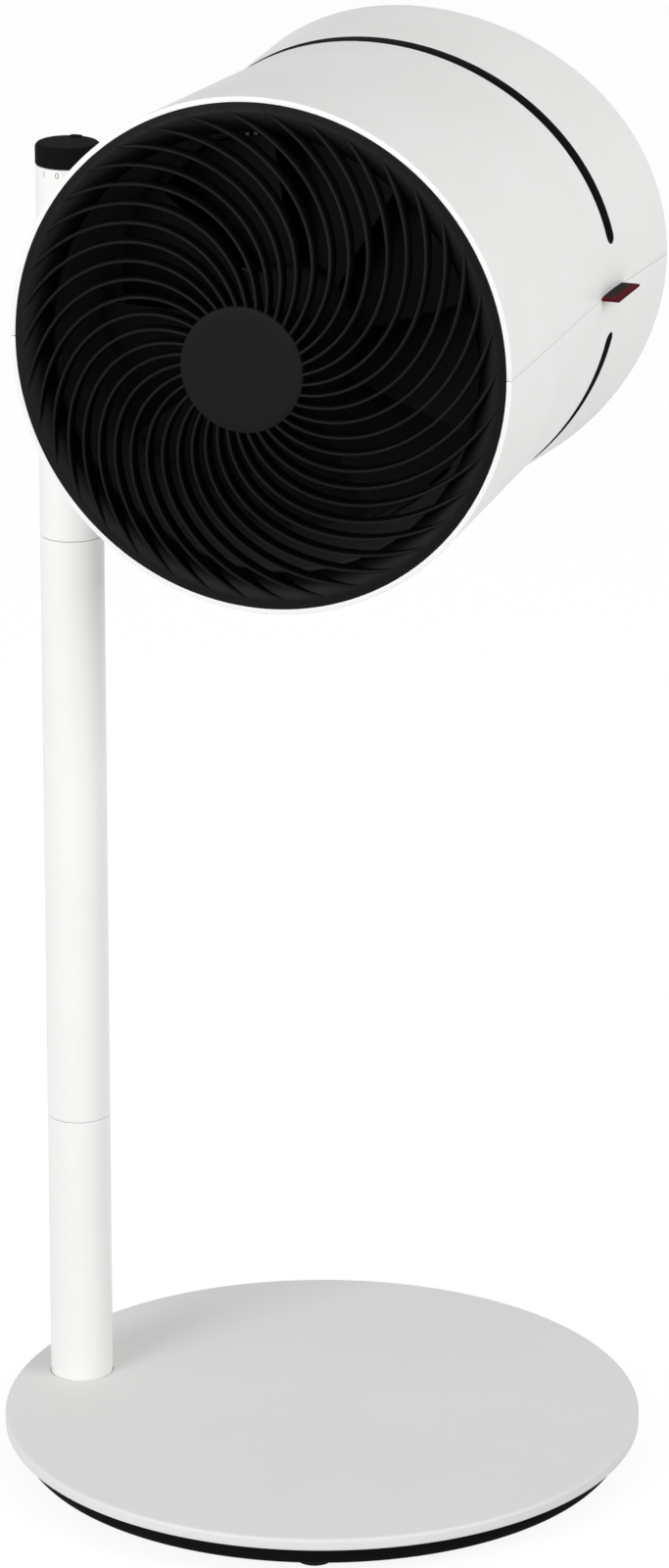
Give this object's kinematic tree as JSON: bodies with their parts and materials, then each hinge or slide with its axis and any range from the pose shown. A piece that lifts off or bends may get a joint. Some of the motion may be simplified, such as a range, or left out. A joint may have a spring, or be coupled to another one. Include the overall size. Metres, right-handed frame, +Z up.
{
  "type": "air circulator fan",
  "caption": "Drum-shaped air circulator carried beside a slim round column on a disc base, with a domed spiral grille and a speed knob on top.",
  "frame": {"origin": "on the floor, under the centre of the round base plate", "axes": "+Z up; -Y the way the fan head blows at rest; -X from the base's centre towards the column"},
  "size_m": [0.345, 0.345, 0.7835],
  "materials": {
    "white_paint": "satin white paint on steel tube",
    "white_plastic": "smooth satin white moulded plastic",
    "grey_plate": "fine powder coat in light grey",
    "black_plastic": "fine matt black moulded plastic",
    "rubber": "matt black rubber",
    "steel": "zinc-plated steel",
    "rotor_iron": "dark ferrite",
    "copper_winding": "enamelled copper wire",
    "bronze": "plain bronze friction washer",
    "nylon": "natural nylon",
    "board": "green circuit board",
    "woven_tag": "dark red woven ribbon"
  },
  "bodies": {
    "base": {"base_plate": "grey_plate", "base_pan": "black_plastic", "rubber_foot_1": "rubber", "rubber_foot_2": "rubber", "rubber_foot_3": "rubber", "rubber_foot_4": "rubber", "rubber_foot_5": "rubber", "pan_screw_1": "steel", "pan_screw_2": "steel", "pan_screw_3": "steel", "power_inlet": "black_plastic", "supply_lead": "black_plastic", "column_bolt": "steel", "column_foot": "steel", "lower_tube": "white_paint", "middle_tube": "white_paint", "tube_coupler": "nylon", "swivel_pin": "steel", "swivel_washer": "bronze", "swivel_nut": "steel"},
    "post": {"swivel_bush": "nylon", "swivel_post": "white_paint", "axle_anchor": "steel", "control_board": "board", "post_cap": "white_plastic", "speed_switch": "steel", "tilt_saddle": "white_plastic", "tilt_axle": "steel", "tilt_washer": "bronze", "spring_washer": "steel", "tilt_nut": "steel"},
    "knob": {"switch_shaft": "steel", "speed_knob": "black_plastic"},
    "head": {"tilt_collar": "white_plastic", "tilt_bush": "nylon", "hub_plate": "steel", "upper_shell": "white_plastic", "lower_shell": "white_plastic", "shell_screw_1": "steel", "shell_screw_2": "steel", "shell_screw_3": "steel", "shell_screw_4": "steel", "seam_tag": "woven_tag", "front_grille": "black_plastic", "grille_cap": "black_plastic", "rear_grille": "black_plastic", "rear_screw_1": "steel", "rear_screw_2": "steel", "rear_screw_3": "steel", "air_duct": "black_plastic", "motor_support": "black_plastic", "motor_housing": "steel", "motor_end_cap": "steel", "motor_stator": "copper_winding", "front_bearing": "steel", "rear_bearing": "steel"},
    "impeller": {"motor_rotor": "rotor_iron", "motor_shaft": "steel", "impeller": "black_plastic", "impeller_nut": "black_plastic"}
  },
  "joints": [
    {"name": "head_swivel", "type": "hinge", "parent": "base", "child": "post", "pos_m": [-0.1407, 0, 0.507], "axis": [0, 0, 1], "range_deg": [-60, 60]},
    {"name": "head_tilt", "type": "hinge", "parent": "post", "child": "head", "pos_m": [-0.1407, 0, 0.6499], "axis": [-1, 0, 0], "range_deg": [-30, 90]},
    {"name": "knob_turn", "type": "hinge", "parent": "post", "child": "knob", "pos_m": [-0.1407, 0, 0.709], "axis": [0, 0, -1], "range_deg": [0, 270]},
    {"name": "impeller_spin", "type": "hinge", "parent": "head", "child": "impeller", "pos_m": [0.0126, 0, 0.6499], "axis": [0, 1, 0], "continuous": true}
  ]
}
